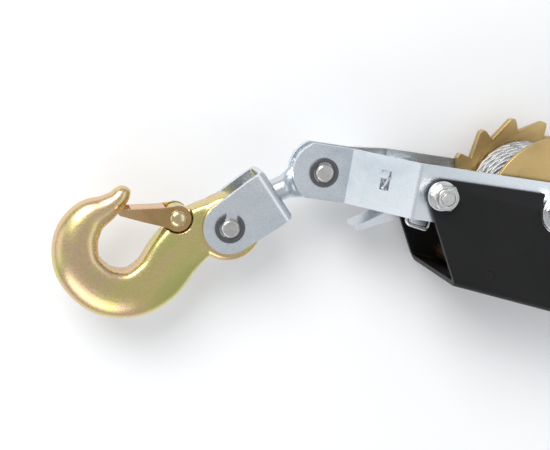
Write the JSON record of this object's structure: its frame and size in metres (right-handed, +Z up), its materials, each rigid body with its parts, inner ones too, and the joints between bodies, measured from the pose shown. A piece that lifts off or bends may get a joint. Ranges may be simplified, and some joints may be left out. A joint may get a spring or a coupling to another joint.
{
  "type": "hand ratchet cable puller",
  "caption": "Hand ratchet cable puller: steel side plates, toothed rope drum, channel lever with a rubber grip, pawls, and a latched hook at each end.",
  "frame": {"origin": "centre of the underside of the drum axle bolt's head, on the surface the puller lies on", "axes": "+X along the frame from the anchor hook to the load hook, +Y towards the open side of the lever channel, +Z up along the drum axis"},
  "size_m": [0.5668, 0.167, 0.0928],
  "materials": {
    "bright_zinc": "bright zinc plate, semi gloss",
    "yellow_zinc": "yellow chromated zinc plate, iridescent",
    "copper_zinc": "coppery zinc plate",
    "black_oxide": "black oxide",
    "black_paint": "black powder coat, semi matt",
    "grip_rubber": "black moulded rubber",
    "wire_rope": "galvanised stranded wire",
    "ferrule": "pressed aluminium",
    "sleeve": "oiled bronze"
  },
  "bodies": {
    "frame": {"side_plate_near": "bright_zinc", "side_plate_far": "bright_zinc", "frame_pin": "bright_zinc", "frame_pin_clips": "black_oxide", "pivot_bolt": "bright_zinc", "pivot_nut": "bright_zinc", "pivot_washers": "bright_zinc", "pivot_spacer": "bright_zinc", "axle_bolt": "bright_zinc", "axle_nut": "bright_zinc", "axle_washers": "bright_zinc", "axle_sleeve": "sleeve", "tail_bolt": "bright_zinc", "tail_nut": "bright_zinc", "tail_washers": "bright_zinc", "tail_spacer": "bright_zinc"},
    "lever": {"lever_channel": "black_paint", "lever_grip": "grip_rubber", "drive_pawl_pin": "black_paint"},
    "holding_pawl": {"holding_pawl": "bright_zinc", "holding_pawl_spring": "bright_zinc"},
    "drive_pawl": {"drive_pawl": "yellow_zinc", "drive_pawl_spring": "bright_zinc"},
    "eye_stud": {"eye_stud": "bright_zinc", "stud_washer": "bright_zinc", "stud_nut": "bright_zinc"},
    "clevis": {"clevis": "bright_zinc", "clevis_pin": "bright_zinc", "clevis_pin_clips": "black_oxide"},
    "anchor_hook": {"anchor_hook": "yellow_zinc", "anchor_latch_rivet": "copper_zinc"},
    "anchor_latch": {"anchor_latch": "copper_zinc", "anchor_latch_spring": "bright_zinc"},
    "drum": {"drum_core": "yellow_zinc", "ratchet_wheel": "yellow_zinc", "drum_flange": "yellow_zinc", "rope_set_screw": "bright_zinc", "rope_coil": "wire_rope"},
    "load_end": {"rope_lead": "wire_rope", "rope_ferrule": "ferrule", "rope_eye": "wire_rope", "rope_thimble": "bright_zinc"},
    "load_hook": {"load_hook": "yellow_zinc", "load_latch_rivet": "copper_zinc"},
    "load_latch": {"load_latch": "copper_zinc", "load_latch_spring": "bright_zinc"}
  },
  "joints": [
    {"name": "lever_swing", "type": "hinge", "parent": "frame", "child": "lever", "pos_m": [-0.071, 0, 0.0432], "axis": [0, 0, 1], "range_deg": [-75, 0]},
    {"name": "holding_pawl_turn", "type": "hinge", "parent": "frame", "child": "holding_pawl", "pos_m": [-0.071, 0, 0.0432], "axis": [0, 0, 1], "range_deg": [-14, 12.5], "deforming": ["holding_pawl_spring"]},
    {"name": "drive_pawl_turn", "type": "hinge", "parent": "lever", "child": "drive_pawl", "pos_m": [-0.035, -0.04, 0.0432], "axis": [0, 0, 1], "range_deg": [0, 15.5], "deforming": ["drive_pawl_spring"]},
    {"name": "eye_stud_swing", "type": "hinge", "parent": "frame", "child": "eye_stud", "pos_m": [-0.1287, 0, 0.0432], "axis": [0, 0, 1], "range_deg": [-74, 10]},
    {"name": "clevis_swivel", "type": "hinge", "parent": "eye_stud", "child": "clevis", "pos_m": [-0.15374, -0.01522, 0.0432], "axis": [0.8545, 0.5195, 0], "continuous": true},
    {"name": "anchor_hook_swing", "type": "hinge", "parent": "clevis", "child": "anchor_hook", "pos_m": [-0.17622, -0.03583, 0.0432], "axis": [0, 0, 1], "range_deg": [-50, 50]},
    {"name": "anchor_latch_turn", "type": "hinge", "parent": "anchor_hook", "child": "anchor_latch", "pos_m": [-0.20372, -0.03513, 0.0432], "axis": [0, 0, 1], "range_deg": [0, 38], "deforming": ["anchor_latch_spring"]},
    {"name": "drum_turn", "type": "hinge", "parent": "frame", "child": "drum", "pos_m": [0, 0, 0.0432], "axis": [0, 0, 1], "range_deg": [-720, 0]},
    {"name": "load_end_travel", "type": "slide", "parent": "frame", "child": "load_end", "axis": [1, 0, 0], "range_m": [0, 0.3695], "deforming": ["rope_lead"]},
    {"name": "load_hook_swing", "type": "hinge", "parent": "load_end", "child": "load_hook", "pos_m": [0.1475, 0.02939, 0.0462], "axis": [0, 0, 1], "range_deg": [-12, 50]},
    {"name": "load_latch_turn", "type": "hinge", "parent": "load_hook", "child": "load_latch", "pos_m": [0.17056, 0.0444, 0.0462], "axis": [0, 0, -1], "range_deg": [0, 38], "deforming": ["load_latch_spring"]}
  ],
  "couplings": [
    {"joint": "load_end_travel", "follows": "drum_turn", "m_per_rad": -0.029392}
  ]
}
